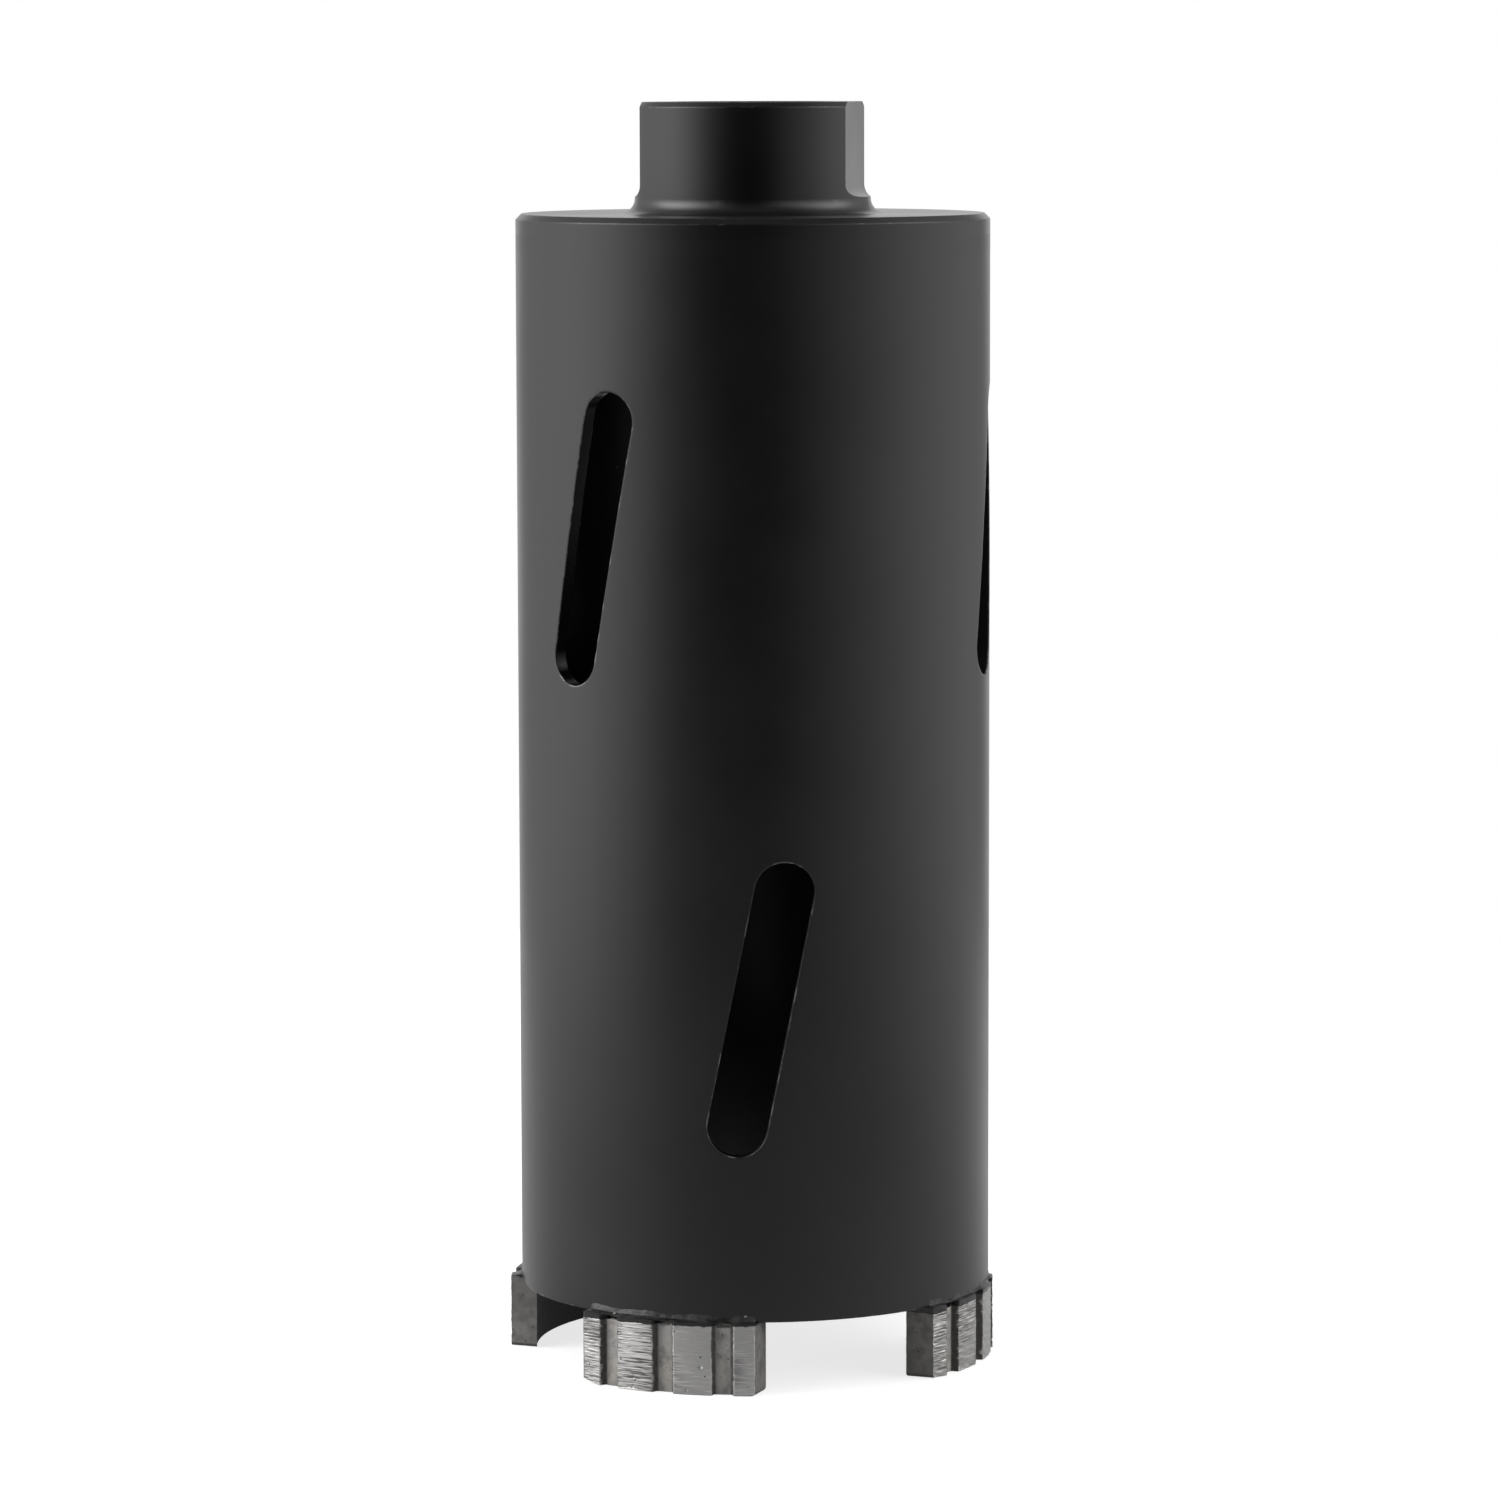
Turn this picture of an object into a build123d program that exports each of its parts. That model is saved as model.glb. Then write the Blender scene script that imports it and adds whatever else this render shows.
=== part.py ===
from build123d import *
import os

# Dry core bit: a slotted steel tube with a threaded hub welded into its top and four cutting
# segments welded under its lower edge. All lengths are millimetres.
# Z 0 is the plane that the segments' working faces stand on, and +Z is the drilling axis, up
# to the hub. A heading is an angle about Z in degrees, from -Y (the front) towards +X.

# Barrel, a steel tube. Its length runs from the hub plate's upper face to the lower edge.
barrel_diameter = 66.0
barrel_wall = 2.0
barrel_length = 150.0

# Slots, in two rows. Each depth is from the plate's upper face to the middle of the slots.
slot_length = 41.0
slot_width = 8.2
slot_lean = 11.4
upper_row_depth = 43.6
upper_row_headings = (-42.5, 82.0, 199.5)
lower_row_depth = 107.0
lower_row_headings = (1.5, 121.5, 241.5)

# Hub boss, with a parallel pipe thread of 20.955 mm through it and two spanner flats
hub_diameter = 32.8
hub_height = 15.4
hub_chamfer = 0.7
thread_diameter = 20.955
thread_chamfer = 1.2
flats_across = 28.8
flats_heading = 79.5
flats_end_height = 2.3
flats_end_radius = 1.7
foot_radius = 2.1

# Hub plate, which closes the tube, and the spigot under it, which centres it in the tube
plate_thickness = 4.0
plate_chamfer = 0.8
spigot_depth = 3.0
spigot_clearance = 0.05
spigot_chamfer = 0.5

# Weld between plate and tube, a triangular ring turned flush with the tube
ring_weld_size = 1.2

# Cutting segments. The shift is how far their ring sits off the tube's axis along X.
segment_count = 4
first_segment_heading = -21.0
segment_height = 10.0
segment_width = 25.4
segment_thickness = 3.6
segment_stand_out = 1.1
segment_ring_shift = -0.5
segment_rounding = 0.6

# Vertical grooves in each segment's outer face
groove_count = 3
groove_pitch = 14.2
groove_width = 2.35
groove_depth = 1.0
groove_wall_slope = 0.3

# Weld bead on the ledge over each segment, against the tube's outer wall
bead_height = 0.95
bead_lip = 0.15
bead_notch_share = 0.6

# Sizes that follow from those above
barrel_radius = barrel_diameter / 2
bore_radius = barrel_radius - barrel_wall
lower_edge = segment_height
plate_top = lower_edge + barrel_length
weld_joint = plate_top - plate_thickness
hub_top = plate_top + hub_height
hub_radius = hub_diameter / 2
thread_radius = thread_diameter / 2
segment_outer = barrel_radius + segment_stand_out
segment_inner = segment_outer - segment_thickness
least_stand_out = segment_stand_out - abs(segment_ring_shift)

# The half section through the axis: X is the distance from it and Y of the sketch is Z.
# The side section looks along a flat: X of the sketch is the distance from the axis.
half_section = Plane.XZ
side_section = Plane(origin=(0, 0, 0), x_dir=(0, -1, 0), z_dir=(-1, 0, 0))


def turned_to(heading, shape):
    """Turns a shape that was made at the front to its heading."""
    return Rot(0, 0, heading) * shape


def revolved(*corners):
    """A ring about the axis, from the corners of its section."""
    section = make_face(Polyline(*corners, close=True))
    return revolve(half_section * section, axis=Axis.Z)


def slot_cutter(depth, heading):
    """A round-ended bar through one side of the tube, its top leaning to the right."""
    face_on = Plane(origin=(0, 0, plate_top - depth), x_dir=(1, 0, 0), z_dir=(0, -1, 0))
    outline = face_on * SlotOverall(slot_length, slot_width, rotation=90 - slot_lean)
    return turned_to(heading, extrude(outline, amount=barrel_diameter))


def make_barrel():
    """The tube, with the weld's chamfer at its top and its six slots."""
    tube = revolved(
        (bore_radius, lower_edge),
        (barrel_radius, lower_edge),
        (barrel_radius, weld_joint - ring_weld_size),
        (barrel_radius - ring_weld_size, weld_joint),
        (bore_radius, weld_joint),
    )
    for heading in upper_row_headings:
        tube -= slot_cutter(upper_row_depth, heading)
    for heading in lower_row_headings:
        tube -= slot_cutter(lower_row_depth, heading)
    return tube


def flat_cutter(heading):
    """What the milling cutter takes off one side of the boss, with its rounded run-out."""
    depth = flats_across / 2
    end = plate_top + flats_end_height
    outline = Polyline(
        (depth + flats_end_radius, end),
        (barrel_radius, end),
        (barrel_radius, hub_top + flats_end_radius),
        (depth, hub_top + flats_end_radius),
        (depth, end + flats_end_radius),
    )
    run_out = RadiusArc(outline @ 1, outline @ 0, -flats_end_radius)
    side_view = side_section * make_face(outline + run_out)
    return turned_to(heading, extrude(side_view, amount=hub_radius, both=True))


def make_hub():
    """Boss, foot fillet, plate and spigot, turned from one bar, with the flats milled after."""
    spigot_radius = bore_radius - spigot_clearance
    spigot_end = weld_joint - spigot_depth
    outline = Polyline(
        (hub_radius + foot_radius, plate_top),
        (barrel_radius - plate_chamfer, plate_top),
        (barrel_radius, plate_top - plate_chamfer),
        (barrel_radius, weld_joint + ring_weld_size),
        (barrel_radius - ring_weld_size, weld_joint),
        (spigot_radius, weld_joint),
        (spigot_radius, spigot_end + spigot_chamfer),
        (spigot_radius - spigot_chamfer, spigot_end),
        (thread_radius + thread_chamfer, spigot_end),
        (thread_radius, spigot_end + thread_chamfer),
        (thread_radius, hub_top - thread_chamfer),
        (thread_radius + thread_chamfer, hub_top),
        (hub_radius - hub_chamfer, hub_top),
        (hub_radius, hub_top - hub_chamfer),
        (hub_radius, plate_top + foot_radius),
    )
    foot = RadiusArc(outline @ 1, outline @ 0, -foot_radius)
    hub = revolve(half_section * make_face(outline + foot), axis=Axis.Z)
    for side in (0, 180):
        hub -= flat_cutter(flats_heading + side)
    return hub


def make_hub_weld():
    """The weld that fills the groove between plate and tube."""
    return revolved(
        (barrel_radius - ring_weld_size, weld_joint),
        (barrel_radius, weld_joint - ring_weld_size),
        (barrel_radius, weld_joint + ring_weld_size),
    )


def segment_span(height):
    """The bar between the parallel end faces of a segment, from Z 0 to a height."""
    bar = Pos(0, -segment_outer) * Rectangle(segment_width, segment_outer)
    return extrude(bar, amount=height)


def groove_cutters(depth, height):
    """Bars with sloping sides for the grooves, cut to a depth from the outer face."""
    slope = groove_wall_slope / groove_depth
    mouth = groove_width / 2 + slope * groove_depth
    floor = groove_width / 2 - slope * depth
    outside = segment_outer + groove_depth
    outline = Polyline(
        (-mouth, -outside),
        (mouth, -outside),
        (floor, depth - segment_outer),
        (-floor, depth - segment_outer),
        close=True,
    )
    bar = extrude(make_face(outline), amount=height)
    middle = (groove_count - 1) / 2
    return [turned_to((n - middle) * groove_pitch, bar) for n in range(groove_count)]


def seated(heading, shape):
    """Turns a segment or its bead to its heading and moves it with the segments' ring."""
    return Pos(segment_ring_shift, 0, 0) * turned_to(heading, shape)


def make_segment(heading):
    """One sintered segment: part of a ring with parallel ends, grooved outside."""
    ring = Circle(segment_outer) - Circle(segment_inner)
    segment = extrude(ring, amount=segment_height) & segment_span(segment_height)
    for cutter in groove_cutters(groove_depth, segment_height):
        segment -= cutter
    ends = segment.faces().filter_by(Axis.X)
    lower_ends = [face.edges().sort_by(Axis.Z)[0] for face in ends]
    segment = fillet(lower_ends, segment_rounding)
    return seated(heading, segment)


def make_bead(heading):
    """The weld bead over one segment, notched where the grooves run up into it."""
    bead_top = lower_edge + bead_height
    cone = revolved(
        (segment_inner, lower_edge),
        (segment_outer, lower_edge),
        (segment_outer, lower_edge + bead_lip),
        (segment_outer - segment_stand_out, bead_top),
        (segment_inner, bead_top),
    )
    bead = cone & segment_span(bead_top)
    for cutter in groove_cutters(least_stand_out * bead_notch_share, bead_top):
        bead -= cutter
    return seated(heading, bead) - Cylinder(barrel_radius, 2 * plate_top)


def main():
    nodes = {"barrel": make_barrel(), "hub": make_hub(), "hub_weld": make_hub_weld()}
    for n in range(segment_count):
        heading = first_segment_heading + n * 360 / segment_count
        nodes[f"segment_{n + 1}"] = make_segment(heading)
        nodes[f"segment_weld_{n + 1}"] = make_bead(heading)
    os.makedirs("parts", exist_ok=True)
    for name, shape in nodes.items():
        shape.label = name
        export_step(shape, f"parts/{name}.step")


main()
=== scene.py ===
import math

import bpy
import numpy as np
from mathutils import Matrix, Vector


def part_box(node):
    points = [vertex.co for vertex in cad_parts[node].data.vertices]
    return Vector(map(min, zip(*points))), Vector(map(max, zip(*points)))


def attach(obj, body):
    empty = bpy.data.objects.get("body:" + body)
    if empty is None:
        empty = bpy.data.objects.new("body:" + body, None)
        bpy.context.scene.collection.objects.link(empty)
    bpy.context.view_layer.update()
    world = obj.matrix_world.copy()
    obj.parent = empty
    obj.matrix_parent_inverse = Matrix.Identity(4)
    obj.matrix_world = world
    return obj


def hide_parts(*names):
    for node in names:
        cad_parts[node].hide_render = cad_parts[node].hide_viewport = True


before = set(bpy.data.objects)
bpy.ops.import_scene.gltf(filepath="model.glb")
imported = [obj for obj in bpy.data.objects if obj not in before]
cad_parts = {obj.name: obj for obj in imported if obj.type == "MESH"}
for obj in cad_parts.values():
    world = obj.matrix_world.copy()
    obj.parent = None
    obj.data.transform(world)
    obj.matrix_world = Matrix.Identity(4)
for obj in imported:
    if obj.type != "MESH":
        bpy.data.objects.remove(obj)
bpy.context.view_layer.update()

# Barrel
# A seamless steel tube, cut square, with six leaning slots milled through it, then sprayed satin
# black all over. The paint is smooth, over faint turned rings, with a few specks of dust in it.
mm = 0.001
paint_black = (0.0042, 0.0043, 0.0046, 1.0)
paint_faded = (0.0062, 0.0061, 0.0061, 1.0)
# Grey for edge patches: rubbed paint, and light enough to be a painted highlight along the edges too.
rubbed_edge_highlight = (0.30, 0.30, 0.29, 1.0)
dust_grey = (0.24, 0.24, 0.23, 1.0)
paint_index = 1.5
cloud_lumps = 45
cloud_range = (0.35, 0.7)
gloss_range = (0.3, 0.7)
gloss_spread = (-0.02, 0.025)
peel_lumps = 1500
peel_height = 0.02 * mm
turned_lumps = 60
turned_stretch = (1, 1, 60)
turned_share = 0.7
edge_round = 0.28 * mm
slot_edge_round = 0.42 * mm
edge_turn = (0.80, 0.99)
chip_lumps = 420
chip_range = (0.52, 0.66)
speck_cells = 110
speck_size = 0.016
speck_core = 0.6
speck_left_out = 0.62
flush_joint = 156.0 * mm
flush_reach = 1.7 * mm


def add_node(tree, kind, sockets=(), **settings):
    """Adds a shader node, with its settings, and sets or links each socket that is named."""
    node = tree.nodes.new("ShaderNode" + kind)
    for name, value in settings.items():
        setattr(node, name, value)
    for name, value in dict(sockets).items():
        if isinstance(value, bpy.types.NodeSocket):
            tree.links.new(value, node.inputs[name])
        else:
            node.inputs[name].default_value = value
    return node


def sum_of(tree, operation, *values):
    """One step of arithmetic on shader values."""
    return add_node(tree, "Math", dict(enumerate(values)), operation=operation).outputs[0]


def mottle(tree, place, lumps, stretch=(1, 1, 1), detail=2.0):
    """Smooth noise from 0 to 1, of so many lumps to the unit, finer along an axis by its stretch."""
    drawn = add_node(tree, "Mapping", {"Vector": place, "Scale": stretch}).outputs[0]
    sockets = {"Vector": drawn, "Scale": lumps, "Detail": detail}
    return add_node(tree, "TexNoise", sockets).outputs[0]


def between(tree, value, low, high, at_low=0.0, at_high=1.0):
    """Eases from one value to another while the input goes from low to high."""
    sockets = {0: value, 1: low, 2: high, 3: at_low, 4: at_high}
    return add_node(tree, "MapRange", sockets, interpolation_type="SMOOTHSTEP").outputs[0]


def blended(tree, share, first, second):
    """The first colour, giving way to the second as the share goes from 0 to 1."""
    return add_node(tree, "Mix", {0: share, 6: first, 7: second}, data_type="RGBA").outputs[2]


def new_finish(name):
    """An empty material, its node tree and the object's own coordinates."""
    finish = bpy.data.materials.new(name)
    finish.use_nodes = True
    finish.node_tree.nodes.clear()
    place = add_node(finish.node_tree, "TexCoord").outputs["Object"]
    return finish, finish.node_tree, place


def lay_surface(tree, sockets):
    """Ends a material with the surface that these sockets describe."""
    shader = add_node(tree, "BsdfPrincipled", sockets)
    add_node(tree, "OutputMaterial", {"Surface": shader.outputs[0]})


def dust_specks(tree, place, cells, size):
    """A mask of round specks, one in each cell at most, as large as a share of the cell."""
    spread = add_node(tree, "TexVoronoi", {"Vector": place, "Scale": cells})
    shown = sum_of(tree, "GREATER_THAN", spread.outputs["Color"], speck_left_out)
    near = between(tree, spread.outputs["Distance"], size * speck_core, size, 1.0, 0.0)
    return sum_of(tree, "MULTIPLY", near, shown)


def satin_black(name, rounding=edge_round, grain=0.05, roughness=0.31):
    """Satin paint: near black, mottled in gloss, orange peel over turned rings. Edges are rounded, and
    lightened in patches where the rounding turns the face away, as rubbed paint and as a painted
    highlight along the edges, but not at the flush ring weld."""
    finish, tree, place = new_finish(name)
    clouds = mottle(tree, place, cloud_lumps, detail=3.0)
    peel = mottle(tree, place, peel_lumps)
    rings = mottle(tree, place, turned_lumps, stretch=turned_stretch)
    rounded = add_node(tree, "Bevel", {"Radius": rounding}, samples=6).outputs[0]
    facing = add_node(tree, "NewGeometry").outputs["Normal"]
    level = add_node(tree, "SeparateXYZ", {0: place}).outputs[2]
    flush = sum_of(tree, "COMPARE", level, flush_joint, flush_reach)
    rounded = add_node(tree, "Mix", {0: flush, 4: rounded, 5: facing}, data_type="VECTOR").outputs[1]
    along = add_node(tree, "VectorMath", {0: rounded, 1: facing}, operation="DOT_PRODUCT")
    edge = between(tree, along.outputs["Value"], *edge_turn, 1.0, 0.0)
    chips = between(tree, mottle(tree, place, chip_lumps, detail=4.0), *chip_range)
    # Edge patches lightened: rubbed paint and a painted highlight along the edges.
    rubbed_highlight = sum_of(tree, "MULTIPLY", edge, chips)
    specks = dust_specks(tree, place, speck_cells, speck_size)
    colour = blended(tree, between(tree, clouds, *cloud_range), paint_black, paint_faded)
    colour = blended(tree, rubbed_highlight, colour, rubbed_edge_highlight)
    colour = blended(tree, specks, colour, dust_grey)
    smoothest, roughest = roughness + gloss_spread[0], roughness + gloss_spread[1]
    gloss = between(tree, clouds, *gloss_range, smoothest, roughest)
    height = sum_of(tree, "MULTIPLY_ADD", rings, turned_share, peel)
    bump = {"Strength": grain, "Distance": peel_height, "Height": height, "Normal": rounded}
    relief = add_node(tree, "Bump", bump).outputs[0]
    lay_surface(tree, {"Base Color": colour, "Roughness": gloss, "Normal": relief, "IOR": paint_index})
    return finish


barrel_paint = satin_black("satin_black_barrel", rounding=slot_edge_round)
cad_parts["barrel"].material_slots[0].material = barrel_paint

# Ring weld
# The bead that joins tube and hub, turned down flush with both before painting, so that only a
# slightly coarser coat over it can be told from the rest.
weld_paint = satin_black("satin_black_ring_weld", grain=0.06, roughness=0.32)
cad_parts["hub_weld"].material_slots[0].material = weld_paint

# Hub
# One turned steel piece: threaded boss, foot and closing plate, with two milled spanner flats.
# It is painted with the tube, and only the thread inside, plugged for spraying, is bare steel.
hub_paint = satin_black("satin_black_hub", roughness=0.29)
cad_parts["hub"].material_slots[0].material = hub_paint

pitch = 1.814 * mm
thread_major = 10.4775 * mm
thread_minor = 9.3155 * mm
thread_sunk = 0.03 * mm
thread_crest = 0.30 * mm
thread_root_gap = 0.06 * mm
thread_run_out = 0.35
thread_steps = 72
bore_low = 153.0 * mm
bore_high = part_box("hub")[1].z
bore_chamfer = 1.2 * mm
steel_bright = (0.52, 0.51, 0.49, 1.0)
steel_dull = (0.27, 0.26, 0.245, 1.0)
oil_brown = (0.10, 0.075, 0.05, 1.0)
oil_share = 0.75
oil_lumps = 260
oil_range = (0.45, 0.72)
tool_lumps = 80
tool_stretch = (1, 1, 90)
tool_depth = 0.03 * mm
corner_angle = math.radians(38)

# The ridge's section, point by point: how far it is from root to crest, and to which side.
thread_shares = (0, 0.06, 0.5, 0.94, 1, 1, 0.94, 0.5, 0.06, 0)
thread_sides = (-1, -1, -1, -1, -0.6, 0.6, 1, 1, 1, 1)


def grid_faces(rows, columns):
    """Quads over a grid of points, joined round from the last column to the first."""
    index = np.arange(rows * columns).reshape(rows, columns)
    index = np.concatenate([index, index[:, :1]], axis=1)
    corners = index[:-1, :-1], index[:-1, 1:], index[1:, 1:], index[1:, :-1]
    return np.stack(corners, axis=-1).reshape(-1, 4)


def mesh_piece(name, points, faces, finish, marks=()):
    """Makes an object of points, faces and marks on the points, smooth apart from its corners."""
    mesh = bpy.data.meshes.new(name)
    mesh.from_pydata(points.reshape(-1, 3).tolist(), [], faces)
    for mark, values in dict(marks).items():
        layer = mesh.attributes.new(mark, "FLOAT", "POINT")
        layer.data.foreach_set("value", np.asarray(values, np.float32).ravel())
    mesh.polygons.foreach_set("use_smooth", [True] * len(mesh.polygons))
    mesh.set_sharp_from_angle(angle=corner_angle)
    mesh.materials.append(finish)
    piece = bpy.data.objects.new(name, mesh)
    bpy.context.scene.collection.objects.link(piece)
    return piece


def closed_tube(rings):
    """Faces of a tube from rings of points, closed by one face at each end."""
    rows, columns = rings.shape[:2]
    first = list(range(columns))
    last = [(rows - 1) * columns + n for n in first]
    return [first[::-1]] + grid_faces(rows, columns).tolist() + [last]


def thread_ridge():
    """The ridge's section, a trapezium from the root to the crest, carried up a helix: the angle
    and the height grow together, a pitch to the turn, and the crest sinks back at both ends."""
    low = bore_low + bore_chamfer + pitch / 2
    high = bore_high - bore_chamfer - pitch / 2
    turns = (high - low) / pitch
    along = np.linspace(0, turns, int(turns * thread_steps))[:, None]
    end = np.clip(np.minimum(along, turns - along) / thread_run_out, 0, 1)
    depth = (thread_major - thread_minor) * end * end * (3 - 2 * end)
    share = np.array(thread_shares)[None, :]
    side = np.array(thread_sides)[None, :]
    half_root = pitch / 2 - thread_root_gap
    half = half_root + (thread_crest / 2 - half_root) * share
    radius = thread_major + thread_sunk - (depth + thread_sunk) * share
    angle = 2 * math.pi * along
    height = low + pitch * along + side * half
    points = radius * np.sin(angle), -radius * np.cos(angle), height + 0 * radius
    return np.stack(np.broadcast_arrays(*points), axis=-1)


def oiled_steel():
    """Bare cut steel: bright and dull tool rings, browned and dulled by patches of old oil."""
    finish, tree, place = new_finish("oiled_steel_thread")
    rings = mottle(tree, place, tool_lumps, stretch=tool_stretch)
    stain = between(tree, mottle(tree, place, oil_lumps, detail=4.0), *oil_range)
    colour = blended(tree, between(tree, rings, 0.3, 0.7), steel_dull, steel_bright)
    colour = blended(tree, sum_of(tree, "MULTIPLY", stain, oil_share), colour, oil_brown)
    gloss = between(tree, stain, 0.0, 1.0, 0.28, 0.46)
    bump = {"Strength": 0.35, "Distance": tool_depth, "Height": rings}
    relief = add_node(tree, "Bump", bump).outputs[0]
    lay_surface(tree, {"Base Color": colour, "Roughness": gloss, "Normal": relief, "Metallic": 1.0})
    return finish


ridge = thread_ridge()
thread = mesh_piece("thread", ridge, closed_tube(ridge), oiled_steel())
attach(thread, "root")

# Cutting segments
# Four blocks of sintered metal and diamond grit, each part of a ring with parallel ends and three
# upright grooves. Their lands are ground bright, and paint from the tube has run onto their tops.
segment_count = 4
first_heading = -21.0
ring_shift = -0.5 * mm
segment_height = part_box("segment_1")[1].z
segment_width = 25.4 * mm
segment_outer = 34.1 * mm
segment_inner = 30.5 * mm
segment_reach = math.asin(segment_width / 2 / segment_outer)
inner_reach = math.asin(segment_width / 2 / segment_inner)
end_rounding = 0.6 * mm
end_shares = (0.985, 0.95, 0.85, 0.68, 0.5, 0.32, 0.14)
groove_headings = np.radians([-14.2, 0.0, 14.2])
groove_floor = segment_outer - 1.0 * mm
groove_half_floor = 1.175 * mm
groove_slope = 0.3
groove_notch_height = 0.75 * mm
groove_notch_depth = 0.50 * mm
edge_blend = 0.3 * mm

# Cells are the width and height of the lumps that vary a surface, with a pair for each layer.
finer_share = 0.6
ragged_edge = 0.09 * mm
ragged_cells = ((9 * mm, 0.55 * mm), (9 * mm, 0.22 * mm))
scored_middle = 0.62
scored_swing = 0.38
scored_steepness = 3
scored_patches = 0.45
scored_cells = (5 * mm, 2.4 * mm)
streak_height = 0.011 * mm
streak_cells = ((5.5 * mm, 0.24 * mm), (2.6 * mm, 0.15 * mm))
streak_slopes = (0.03, -0.02)
grain_height = 0.010 * mm
grain_cells = (0.30 * mm, 0.30 * mm)
melted_cells = (1.5 * mm, 0.42 * mm)
melted_slope = 0.15
melted_unscores = 6
inner_rough = 0.02 * mm
inner_cells = (0.5 * mm, 0.5 * mm)
pit_count = 9
pit_depth = 0.16 * mm
pit_radii = (0.12 * mm, 0.26 * mm)

# One entry for each segment: the paint line's depth at the left and right ends, the worn lower
# corner and the melted lower part, in millimetres.
paint_lines = ((0.85, 0.30), (1.05, 0.40), (0.60, 0.90), (0.80, 0.15))
worn_corners = (0.70, 0.10, 0.30, 0.20)
melted_lands = (0.006, 0.070, 0.030, 0.045)
worn_reach = 2.6 * mm
paint_inner_share = 0.8
# The groove floor's mark stops this far short of each wall, so that the walls' painted shade reaches into
# the floor's corners.
corner_shade_inset = 0.40 * mm
end_inset = 0.05 * mm

land_bright = (0.60, 0.59, 0.58, 1.0)
land_cut = (0.10, 0.098, 0.096, 1.0)
land_dull = (0.40, 0.395, 0.39, 1.0)
groove_warm = (0.45, 0.425, 0.395, 1.0)
groove_cool = (0.39, 0.385, 0.38, 1.0)
# Groove walls and undersides are near black as painted shade; the same grey also makes random dark patches
# on floors and ends.
wall_shade_and_patch_grey = (0.075, 0.072, 0.068, 1.0)
end_grey = (0.215, 0.21, 0.20, 1.0)
pit_dark = (0.030, 0.028, 0.026, 1.0)
pore_lumps = 2600
patch_lumps = 700
broad_lumps = 160
long_cut_lumps = 0.17
long_cut_stretch = (1, 26, 1)
short_cut_lumps = 0.5
short_cut_stretch = (1, 14, 1)
short_cut_share = 0.7
scored_share = 0.28
bright_range = (0.95, 1.26)
valley_range = (0.35, 0.95)
ragged_reach = 0.4
# Band of bright strips along the land edges: burrs, and a painted highlight where the edges catch light.
burr_highlight_band = (0.12, 0.26)
shoulder_band = (0.0, 0.24)
shoulder_height = 2.2
grit_cells = 900
grit_size = 0.14
paint_wave_lumps = 900
paint_wave = 0.5
ledge_band = (0.86, 0.98)
metal_relief = 0.04 * mm


def lumps(seed, across, up, cell_across, cell_up):
    """Value noise from -1 to 1: random numbers on a lattice of cells, eased between its corners."""
    u, v = across / cell_across, up / cell_up
    column, row = np.floor(u).astype(int), np.floor(v).astype(int)
    fu, fv = u - column, v - row
    fu, fv = fu * fu * (3 - 2 * fu), fv * fv * (3 - 2 * fv)
    column, row = column - column.min(), row - row.min()
    lattice = np.random.default_rng(seed).uniform(-1, 1, (column.max() + 2, row.max() + 2))
    near = lattice[column, row] * (1 - fu) + lattice[column + 1, row] * fu
    far = lattice[column, row + 1] * (1 - fu) + lattice[column + 1, row + 1] * fu
    return near * (1 - fv) + far * fv


def outer_radius(heading, ragged):
    """How far out the face stands at a heading: the land's radius, or in a groove the flat floor,
    with walls that lean outwards between them. The ragged length widens or narrows the groove."""
    away = np.abs(heading[..., None] - groove_headings)
    floor = groove_floor / np.cos(away)
    lean = groove_slope * np.cos(away) - np.sin(away)
    start = groove_slope * groove_floor - groove_half_floor - ragged[..., None]
    wall = np.where(lean > 1e-4, start / np.maximum(lean, 1e-4), 1.0)
    return np.minimum(np.maximum(floor, wall).min(axis=-1), segment_outer)


def land_reach(heading):
    """Distance along the face into the nearest land, negative in a groove."""
    mouth = groove_half_floor + groove_slope * (segment_outer - groove_floor)
    away = np.abs(heading[..., None] - groove_headings).min(axis=-1)
    return away * segment_outer - mouth


def pits(seed, across, up, reach):
    """Depths of small round craters, the sum of bells round a few random points on the lands."""
    random = np.random.default_rng(seed)
    at = random.uniform(-0.5, 0.5, (pit_count, 2)) * (segment_width, segment_height)
    wide = random.uniform(*pit_radii, pit_count)
    from_middle = up - segment_height / 2
    away = (across[..., None] - at[:, 0]) ** 2 + (from_middle[..., None] - at[:, 1]) ** 2
    return (pit_depth * np.exp(-away / wide**2)).sum(axis=-1) * (reach > 0)


def section_outline():
    """Shares across and up the section, once round from the foot of the inner face: up the inner
    face, over the top, down the outer face and back under, closer together at the corners."""
    fine = np.array([0, 0.004, 0.009, 0.016])
    outer = np.concatenate([fine, np.linspace(0.026, 0.974, 92), 1 - fine[::-1]])
    inner = np.concatenate([fine[:3], np.linspace(0.04, 0.96, 36), 1 - fine[2::-1]])
    flat = np.concatenate([[0.012, 0.026], np.linspace(0.05, 0.95, 22), [0.974, 0.988]])
    across = np.concatenate([0 * inner, flat, 1 + 0 * outer, flat[::-1]])
    up = np.concatenate([inner, 1 + 0 * flat, outer[::-1], 0 * flat])
    return across[None, :], up[None, :]


def chord_stations():
    """Shares along the chord from -1 to 1, evenly spaced and closer together at groove walls."""
    corner = groove_half_floor + np.array([-0.15, 0, 0.10, 0.20, 0.30, 0.45]) * mm
    walls = np.arcsin(corner / groove_floor)
    walls = groove_headings[:, None] + np.concatenate([-walls, walls])
    ends = [-0.996, -0.99, 0.99, 0.996]
    stations = np.concatenate([np.linspace(-1, 1, 212), walls.ravel() / segment_reach, ends])
    return np.unique(stations[np.abs(stations) <= 1])[:, None]


def with_end_rows(points):
    """Adds rows to both ends, drawn in by shares on the middle of the end face."""
    shares = np.array(end_shares)[:, None, None]
    first, last = points[:1].mean(axis=1), points[-1:].mean(axis=1)
    first = first + (points[:1] - first) * shares[::-1]
    last = last + (points[-1:] - last) * shares
    return np.concatenate([first, points, last])


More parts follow.
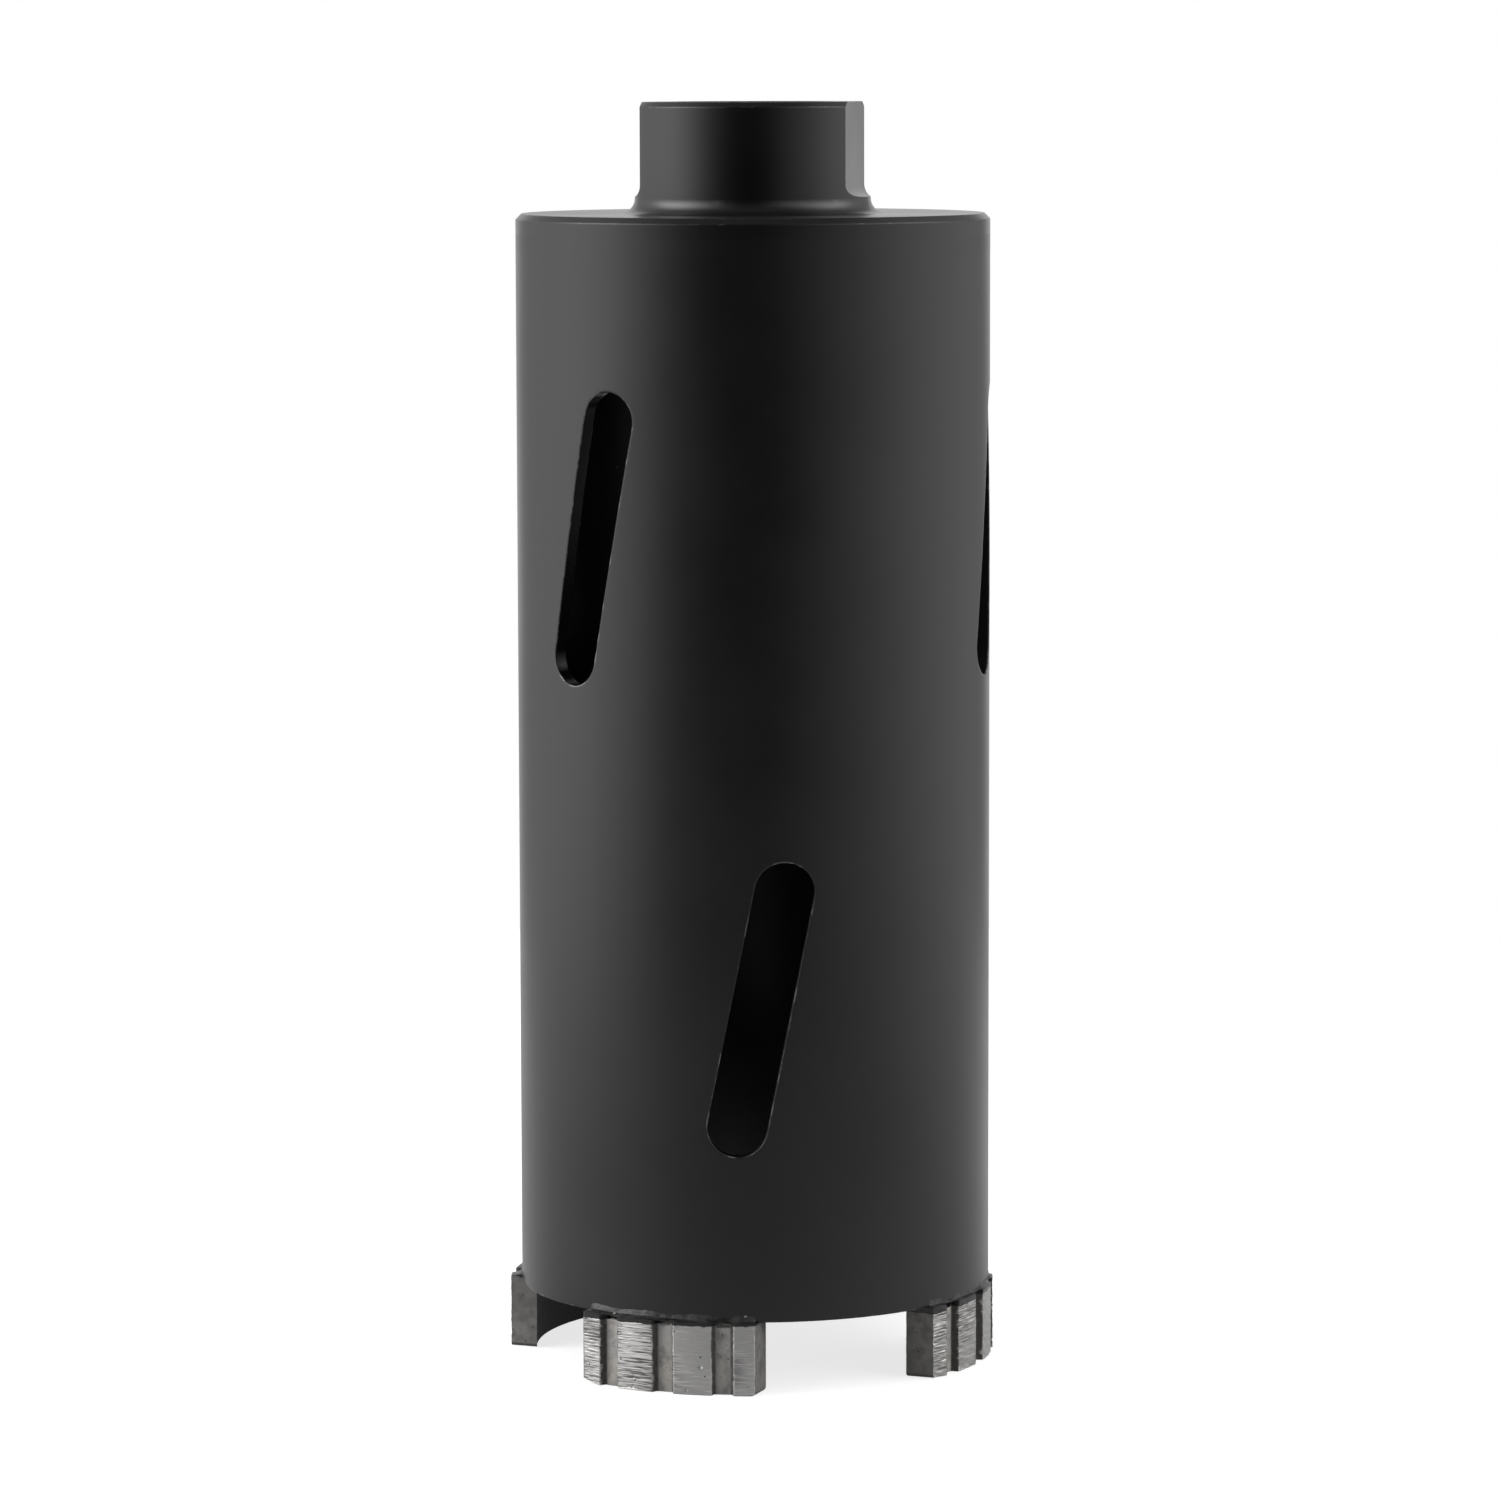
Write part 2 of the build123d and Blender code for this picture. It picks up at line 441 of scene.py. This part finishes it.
def segment_marks(points, chord, across, reach, paint_line):
    """How far each point is into a land, a groove's floor, an end face and the paint, in
    millimetres or as 0 or 1. The paint reaches down by a line between its depths at the ends, by
    less at the inner face, and covers the back."""
    radial = np.hypot(points[..., 0], points[..., 1]) - segment_inner
    radial = np.clip(radial / (segment_outer - segment_inner), 0, 1)
    from_end = segment_width / 2 - np.abs(points[..., 0])
    on_face = np.where((across == 1) & (np.abs(chord) < 1), 1.0, -1.0)
    on_back = (across == 0) & (np.abs(chord) < 1)
    paint_depth = (paint_line[0] + (paint_line[1] - paint_line[0]) * (chord + 1) / 2) * mm
    paint_depth = paint_depth * (paint_inner_share + (1 - paint_inner_share) * radial)
    coated = points[..., 2] - segment_height + paint_depth
    return {
        "land": np.minimum(np.minimum(reach, from_end - end_inset) / mm, on_face),
        "groove": np.minimum((-reach - corner_shade_inset) / mm, on_face),
        "end": np.where(np.abs(chord) == 1, 1.0, 0.0),
        "coated": np.where(on_back, 1.0, coated / mm),
    }


def segment_surface(seed, paint_line, worn_corner, melted):
    """Points over shares along the chord and places round the section, and their marks. The outer
    face stands at outer_radius, plus level streaks by how scored it is, waves by how melted it is,
    more so lower down, and a fine grain, less pits and a notch at each groove's top. It is scored
    most at the left. The ends are planes, their lower edges rounded or worn."""
    chord = chord_stations()
    across, up = section_outline()
    heading = chord * segment_reach + 0 * across
    inner_heading = chord * inner_reach
    arc = heading * segment_outer
    height = up * segment_height + 0 * chord
    reach = land_reach(heading)
    on_land = np.clip(reach / edge_blend, 0, 1)
    in_groove = np.clip(-reach / edge_blend - 1, 0, 1)

    jag = lumps(seed, arc, height, *ragged_cells[0])
    jag = jag + finer_share * lumps(seed + 1, arc, height, *ragged_cells[1])
    radius = outer_radius(heading, jag * ragged_edge)
    scored = scored_middle - scored_swing * np.tanh(scored_steepness * chord)
    scored = scored + scored_patches * lumps(seed + 2, arc, height, *scored_cells)
    scored = scored - melted_unscores * melted * (1 - up)
    streak = lumps(seed + 3, arc, height + streak_slopes[0] * arc, *streak_cells[0])
    finer = lumps(seed + 4, arc, height + streak_slopes[1] * arc, *streak_cells[1])
    streak = streak + finer_share * finer
    grain = lumps(seed + 5, arc, height, *grain_cells)
    radius = radius + on_land * streak_height * scored * streak
    wave = lumps(seed + 8, arc, height + melted_slope * arc, *melted_cells) * (1.5 - up)
    radius = radius + melted * mm * wave * on_land
    radius = radius + grain_height * grain - pits(seed + 6, arc, height, reach)
    under_edge = np.clip((height - segment_height + groove_notch_height) / edge_blend, 0, 1)
    radius = radius - groove_notch_depth * under_edge * in_groove

    inner = segment_inner + inner_rough * lumps(seed + 7, arc, height, *inner_cells)
    inner_x, inner_y = inner * np.sin(inner_heading), -inner * np.cos(inner_heading)
    x = inner_x + (radius * np.sin(heading) - inner_x) * across
    y = inner_y + (-radius * np.cos(heading) - inner_y) * across
    x = np.where(np.abs(chord) == 1, np.sign(chord) * segment_width / 2, x)
    into_corner = np.maximum(end_rounding - (segment_width / 2 - np.abs(x)), 0)
    lift = end_rounding - np.sqrt(np.maximum(end_rounding**2 - into_corner**2, 0))
    worn = np.clip(1 - (x + segment_width / 2) / worn_reach, 0, 1)
    lift = np.maximum(lift, worn_corner * mm * worn)
    z = lift + (segment_height - lift) * up
    points = with_end_rows(np.stack([x, y, z], axis=-1))

    added = ((len(end_shares), len(end_shares)), (0, 0))
    chord, across, arc, reach, scored = (
        np.pad(values + 0 * x, added, mode="edge") for values in (chord, across, arc, reach, scored)
    )
    marks = segment_marks(points, chord, across, reach, paint_line)
    return points, {**marks, "scored": scored, "around": arc / mm}


def seated(points, heading):
    """Turns points from the front to a heading and moves them with the segments' ring."""
    turn = np.array(Matrix.Rotation(math.radians(heading), 3, "Z"))
    return points @ turn.T + (ring_shift, 0, 0)


def sintered_metal():
    """Ground lands with level scratches, rounded shoulders and burrs drawn as bright strips, partly a
    painted highlight along the land edges, dull grooves, groove walls and undersides near black as
    painted shade, darker ends, and black paint down to a wavering line. The mesh's marks say where
    each is."""
    finish, tree, place = new_finish("sintered_metal")
    mark = {}
    for name in ("land", "groove", "end", "coated", "scored", "around"):
        mark[name] = add_node(tree, "Attribute", attribute_name=name).outputs["Fac"]
    height = add_node(tree, "SeparateXYZ", {0: place}).outputs[2]
    height = sum_of(tree, "DIVIDE", height, mm)
    face = add_node(tree, "CombineXYZ", {0: mark["around"], 1: height}).outputs[0]

    pores = mottle(tree, place, pore_lumps, detail=3.0)
    patches = mottle(tree, place, patch_lumps, detail=3.0)
    broad = mottle(tree, place, broad_lumps)
    long_cuts = mottle(tree, face, long_cut_lumps, stretch=long_cut_stretch, detail=1.0)
    short_cuts = mottle(tree, face, short_cut_lumps, stretch=short_cut_stretch, detail=1.0)
    cuts = sum_of(tree, "ADD", long_cuts, sum_of(tree, "MULTIPLY", short_cuts, short_cut_share))

    ragged = sum_of(tree, "MULTIPLY_ADD", patches, ragged_reach, -ragged_reach / 2)
    land = sum_of(tree, "ADD", mark["land"], ragged)
    on_land = between(tree, land, -0.05, 0.05)
    past_burr_highlight = between(tree, land, *burr_highlight_band)
    on_floor = between(tree, sum_of(tree, "ADD", mark["groove"], ragged), -0.2, 0.2)
    cut_share = sum_of(tree, "MULTIPLY_ADD", mark["scored"], scored_share, cuts)
    scored = between(tree, cut_share, *bright_range)
    # Burrs drawn in bright metal along the land edges, in patches: partly a painted highlight.
    burr_highlight = sum_of(tree, "SUBTRACT", 1.0, past_burr_highlight)
    burr_highlight = sum_of(tree, "MULTIPLY", burr_highlight, between(tree, patches, 0.40, 0.66, 0.0, 0.9))
    valley = blended(tree, between(tree, mark["scored"], *valley_range), land_dull, land_cut)
    metal = blended(tree, sum_of(tree, "MAXIMUM", scored, burr_highlight), valley, land_bright)
    dull = blended(tree, between(tree, broad, 0.35, 0.65), groove_warm, groove_cool)
    # Random dark patches on the groove floors.
    dull = blended(tree, between(tree, patches, 0.4, 0.75, 0.0, 0.5), dull, wall_shade_and_patch_grey)
    # Walls and undersides take the near-black grey as painted shade, and ends take their own grey, both
    # with random dark patches.
    side = blended(tree, mark["end"], wall_shade_and_patch_grey, end_grey)
    side = blended(tree, between(tree, broad, 0.35, 0.60, 0.0, 0.45), side, wall_shade_and_patch_grey)
    side = blended(tree, between(tree, patches, 0.38, 0.66, 0.0, 0.55), side, wall_shade_and_patch_grey)
    dull = blended(tree, on_floor, side, dull)
    dull = blended(tree, between(tree, pores, 0.64, 0.76), dull, pit_dark)
    colour = blended(tree, on_land, dull, metal)
    grit = dust_specks(tree, place, grit_cells, grit_size)
    colour = blended(tree, grit, colour, pit_dark)

    wavy = mottle(tree, place, paint_wave_lumps, detail=4.0)
    wavy = sum_of(tree, "MULTIPLY_ADD", wavy, paint_wave, -paint_wave / 2)
    under_paint = between(tree, sum_of(tree, "ADD", mark["coated"], wavy), -0.04, 0.06)
    colour = blended(tree, under_paint, colour, paint_faded)
    bare = sum_of(tree, "SUBTRACT", 1.0, under_paint)
    shine = sum_of(tree, "MULTIPLY", on_land, bare)
    metallic = between(tree, shine, 0.0, 1.0, 0.0, 0.8)
    gloss = between(tree, shine, 0.0, 1.0, 0.60, 0.40)
    paint_gloss = between(tree, mark["coated"], *ledge_band, 0.33, 0.75)
    gloss = between(tree, under_paint, 0.0, 1.0, gloss, paint_gloss)
    relief_height = sum_of(tree, "MULTIPLY", sum_of(tree, "MULTIPLY", cuts, shine), 1.5)
    relief_height = sum_of(tree, "MULTIPLY_ADD", pores, 0.4, relief_height)
    shoulder = between(tree, land, *shoulder_band, 0.0, shoulder_height)
    relief_height = sum_of(tree, "ADD", relief_height, shoulder)
    bump = {"Strength": 0.7, "Distance": metal_relief, "Height": relief_height}
    relief = add_node(tree, "Bump", bump).outputs[0]
    lay_surface(tree, {"Base Color": colour, "Roughness": gloss, "Normal": relief, "Metallic": metallic})
    return finish


segment_metal = sintered_metal()
for n in range(segment_count):
    points, marks = segment_surface(100 * (n + 1), paint_lines[n], worn_corners[n], melted_lands[n])
    faces = closed_tube(points)
    points = seated(points, first_heading + n * 360 / segment_count)
    piece = mesh_piece(f"cutting_segment_{n + 1}", points, faces, segment_metal, marks)
    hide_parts(f"segment_{n + 1}")
    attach(piece, "root")

# Segment welds
# The bead laid on the ledge over each segment, against the tube's wall: a rough hollow fillet,
# painted over, that runs thin where the grooves come up to it.
barrel_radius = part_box("barrel")[1].x
lower_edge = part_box("barrel")[0].z
bead_stations = 260
bead_places = 15
bead_height = 1.0 * mm
bead_least_climb = 0.55
bead_lift = 0.04 * mm
bead_sunk = 0.06 * mm
bead_rim_gap = 0.06 * mm
bead_hollow = 1.7
bead_steep = 0.30
bead_toe = 0.30
bead_toe_hollow = 2.5
bead_thins = (0.70, 0.25, 0.50, 0.40)
bead_thin_reach = 1.8 * mm
bead_end = 0.9 * mm
bead_end_share = 0.25
bead_swell = 0.16
bead_swell_cells = (2.3 * mm, mm)
bead_girth = 1.6 * mm
bead_rough = (0.028 * mm, 0.02 * mm)
bead_rough_cells = ((0.80 * mm, 0.50 * mm), (0.24 * mm, 0.24 * mm))
spatter_grey = (0.34, 0.33, 0.31, 1.0)
scale_grey = (0.040, 0.039, 0.038, 1.0)
spatter_cells = 700
spatter_size = 0.20
pinhole_lumps = 2400
scale_lumps = 600
bead_relief = 0.05 * mm
bead_paint_index = 1.40


def bead_rings(seed, heading, bead_thin):
    """The fillet's section, carried along the segment: from the height of the bead on the wall it
    falls steeply, then runs out in a hollow toe over the ledge to the segment's rim. It swells and
    shrinks at random, rounds off at its ends, and at the grooves it is thinner, by a share."""
    along = np.linspace(1, -1, bead_stations)[:, None] * segment_reach
    share = np.linspace(0, 1, bead_places)[None, :]
    arc = along * segment_outer
    clear = np.clip(0.5 + land_reach(along) / bead_thin_reach, 0, 1)
    clear = bead_thin + (1 - bead_thin) * clear * clear * (3 - 2 * clear)
    from_end = np.clip((segment_reach * segment_outer - np.abs(arc)) / bead_end, 0, 1)
    clear = clear * (bead_end_share + (1 - bead_end_share) * np.sqrt(1 - (1 - from_end) ** 2))
    swell = 1 + bead_swell * lumps(seed, arc, 0 * arc, *bead_swell_cells)
    rim = np.stack([segment_outer * np.sin(along), -segment_outer * np.cos(along), 0 * along], -1)
    rim = seated(rim, heading)
    angle = np.arctan2(rim[..., 0], -rim[..., 1])
    wall = barrel_radius - bead_sunk
    width = (np.hypot(rim[..., 0], rim[..., 1]) - bead_rim_gap - wall) * clear
    climb = bead_height * swell * (bead_least_climb + (1 - bead_least_climb) * clear)
    rise = share**bead_hollow
    toe = (1 - bead_steep) * np.clip(1 - rise / bead_toe, 0, 1) ** bead_toe_hollow
    radius = wall + width * (bead_steep * (1 - rise) + toe)
    height = lower_edge + climb * rise + bead_lift
    over, up = arc + 0 * share, share * bead_girth + 0 * arc
    rough = bead_rough[0] * lumps(seed + 1, over, up, *bead_rough_cells[0])
    rough = rough + bead_rough[1] * lumps(seed + 2, over, up, *bead_rough_cells[1])
    radius = radius + rough * np.sin(math.pi * share) ** 0.5
    foot = wall + width * np.array([[0.0, 0.5, 1.0]])
    radius = np.concatenate([foot, radius], axis=1)
    height = np.concatenate([lower_edge - bead_sunk + 0 * foot, height + 0 * rough], axis=1)
    angle = angle + 0 * radius
    return np.stack([radius * np.sin(angle), -radius * np.cos(angle), height], axis=-1)


def painted_bead():
    """Paint over a rough bead: as black as the rest, rougher, with pinholes and bright spatter."""
    finish, tree, place = new_finish("painted_bead")
    pinholes = mottle(tree, place, pinhole_lumps, detail=4.0)
    scale = mottle(tree, place, scale_lumps, detail=3.0)
    spatter = dust_specks(tree, place, spatter_cells, spatter_size)
    colour = blended(tree, between(tree, scale, 0.35, 0.65), paint_faded, scale_grey)
    colour = blended(tree, spatter, colour, spatter_grey)
    height = sum_of(tree, "MULTIPLY_ADD", scale, 2.0, pinholes)
    bump = {"Strength": 0.22, "Distance": bead_relief, "Height": height}
    relief = add_node(tree, "Bump", bump).outputs[0]
    gloss = between(tree, pinholes, 0.3, 0.7, 0.30, 0.44)
    lay_surface(tree, {"Base Color": colour, "Roughness": gloss, "Normal": relief, "IOR": bead_paint_index})
    return finish


bead_paint = painted_bead()
for n in range(segment_count):
    rings = bead_rings(700 + 10 * n, first_heading + n * 360 / segment_count, bead_thins[n])
    bead = mesh_piece(f"weld_bead_{n + 1}", rings, closed_tube(rings), bead_paint)
    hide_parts(f"segment_weld_{n + 1}")
    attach(bead, "root")

# Floor
# A plain pale board under the bit. It keeps the bit's soft shadow, and to the camera and in
# reflections its colour is lifted to the white of the backdrop.
floor_radius = 420 * mm
floor_centre_share = 0.002
floor_rings = 24
floor_steps = 96
floor_gap = 0.02 * mm
floor_pale = (0.46, 0.46, 0.46, 1.0)
floor_mottled = (0.44, 0.44, 0.44, 1.0)
floor_lumps = 30
floor_roughness = 0.9
floor_lift = 0.76
mirrored_lift = 0.33
lift_front = -120 * mm
lift_full = 20 * mm


def in_mirrors(tree, path):
    """Whether a ray comes from gloss or glass."""
    return sum_of(tree, "MAXIMUM", path["Is Glossy Ray"], path["Is Transmission Ray"])


def pale_board():
    """Matt board with a faint mottle, lifted for the rays of camera, gloss and glass alone. In
    gloss and glass the lift fades towards the front, where the studio is dark."""
    finish, tree, place = new_finish("pale_board")
    colour = blended(tree, mottle(tree, place, floor_lumps), floor_mottled, floor_pale)
    matt = add_node(tree, "BsdfPrincipled", {"Base Color": colour, "Roughness": floor_roughness})
    depth = add_node(tree, "SeparateXYZ", {0: place}).outputs[1]
    path = add_node(tree, "LightPath").outputs
    mirrored = in_mirrors(tree, path)
    behind = between(tree, depth, lift_front, lift_full, 0.0, mirrored_lift)
    mirrored = sum_of(tree, "MULTIPLY", mirrored, behind)
    seen = sum_of(tree, "MULTIPLY", path["Is Camera Ray"], floor_lift)
    lift = add_node(tree, "Emission", {"Strength": sum_of(tree, "MAXIMUM", seen, mirrored)})
    both = add_node(tree, "AddShader", {0: matt.outputs[0], 1: lift.outputs[0]})
    add_node(tree, "OutputMaterial", {"Surface": both.outputs[0]})
    return finish


out_share = np.linspace(floor_centre_share, 1, floor_rings)
turn = np.arange(floor_steps) * 2 * math.pi / floor_steps
out_share, turn = np.meshgrid(out_share, turn, indexing="ij")
disc = np.stack([out_share * np.cos(turn), out_share * np.sin(turn), 0 * turn], axis=-1) * floor_radius
disc[..., 2] = -floor_gap
floor_faces = grid_faces(floor_rings, floor_steps)[:, ::-1].tolist() + [list(range(floor_steps))]
floor = mesh_piece("floor", disc, floor_faces, pale_board())

# Light
# A soft studio: a broad raised glow at the left, a weaker one at the right, darkness overhead and
# in front, where the camera stands. The backdrop is plain white.
surround_peak = 1.9
raised_glow = 2.3
raised_edge = (0.05, 0.35)
raised_back = (0.10, 0.50)
zenith = 0.15
zenith_edge = (0.50, 0.95)
backdrop_edge = (0.88, 0.95)

# The glow's strength by heading, in degrees from the front and growing to the right.
surround = (
    (-180, 1.00), (-170, 0.90), (-158, 0.45), (-140, 0.60), (-120, 1.10), (-100, 1.70),
    (-82, 1.90), (-68, 1.50), (-54, 0.80), (-42, 0.30), (-30, 0.08), (-18, 0.01), (6, 0.00),
    (16, 0.05), (30, 0.22), (43, 0.40), (56, 0.57), (70, 0.86), (85, 1.08), (102, 1.12),
    (125, 0.85), (143, 0.46), (160, 0.36), (171, 0.85), (180, 1.00),
)

world = bpy.data.worlds.new("studio")
bpy.context.scene.world = world
world.use_nodes = True
tree = world.node_tree
tree.nodes.clear()
toward = add_node(tree, "TexCoord").outputs["Generated"]
parts = add_node(tree, "SeparateXYZ", {0: toward}).outputs
turned = sum_of(tree, "ARCTAN2", parts[0], sum_of(tree, "MULTIPLY", parts[1], -1.0))
round_share = sum_of(tree, "MULTIPLY_ADD", turned, 0.5 / math.pi, 0.5)
glow = add_node(tree, "ValToRGB", {0: round_share})
stops = glow.color_ramp.elements
for angle, strength in surround[1:-1]:
    stops.new(0.5 + angle / 360).color = (strength / surround_peak,) * 3 + (1.0,)
for stop, (angle, strength) in zip((stops[0], stops[-1]), (surround[0], surround[-1])):
    stop.color = (strength / surround_peak,) * 3 + (1.0,)
light = sum_of(tree, "MULTIPLY", glow.outputs[0], surround_peak)
raised = between(tree, parts[2], *raised_edge, 0.0, raised_glow)
raised = sum_of(tree, "MULTIPLY", raised, between(tree, parts[1], *raised_back, 1.0, 0.0))
light = sum_of(tree, "MULTIPLY_ADD", light, raised, light)
overhead = between(tree, parts[2], *zenith_edge)
light = add_node(tree, "Mix", {0: overhead, 2: light, 3: zenith}, data_type="FLOAT").outputs[0]
path = add_node(tree, "LightPath").outputs
mirrored = sum_of(tree, "MULTIPLY", in_mirrors(tree, path), between(tree, parts[1], *backdrop_edge))
seen = sum_of(tree, "MAXIMUM", path["Is Camera Ray"], mirrored)
light = add_node(tree, "Mix", {0: seen, 2: light, 3: 1.0}, data_type="FLOAT").outputs[0]
background = add_node(tree, "Background", {"Color": (1, 1, 1, 1), "Strength": light})
add_node(tree, "OutputWorld", {"Surface": background.outputs[0]})

# Camera
# It stands in front at the height of the bit's top and looks a little down, as the photographer
# did, with a long lens.
camera_distance = 840.37 * mm
camera_height = 179.24 * mm
camera_lens = 144.562
film_width = 36.0
camera_down = 6.407
camera_left = -0.039
camera_roll = -0.142

lens = bpy.data.cameras.new("camera")
lens.lens = camera_lens
lens.sensor_width = film_width
camera = bpy.data.objects.new("camera", lens)
bpy.context.scene.collection.objects.link(camera)
pan = Matrix.Rotation(math.radians(-camera_left), 4, "Z")
tilt = Matrix.Rotation(math.radians(90 - camera_down), 4, "X")
roll = Matrix.Rotation(math.radians(camera_roll), 4, "Z")
camera.matrix_world = Matrix.Translation((0, -camera_distance, camera_height)) @ pan @ tilt @ roll
bpy.context.scene.camera = camera
bpy.context.scene.view_settings.view_transform = "Standard"
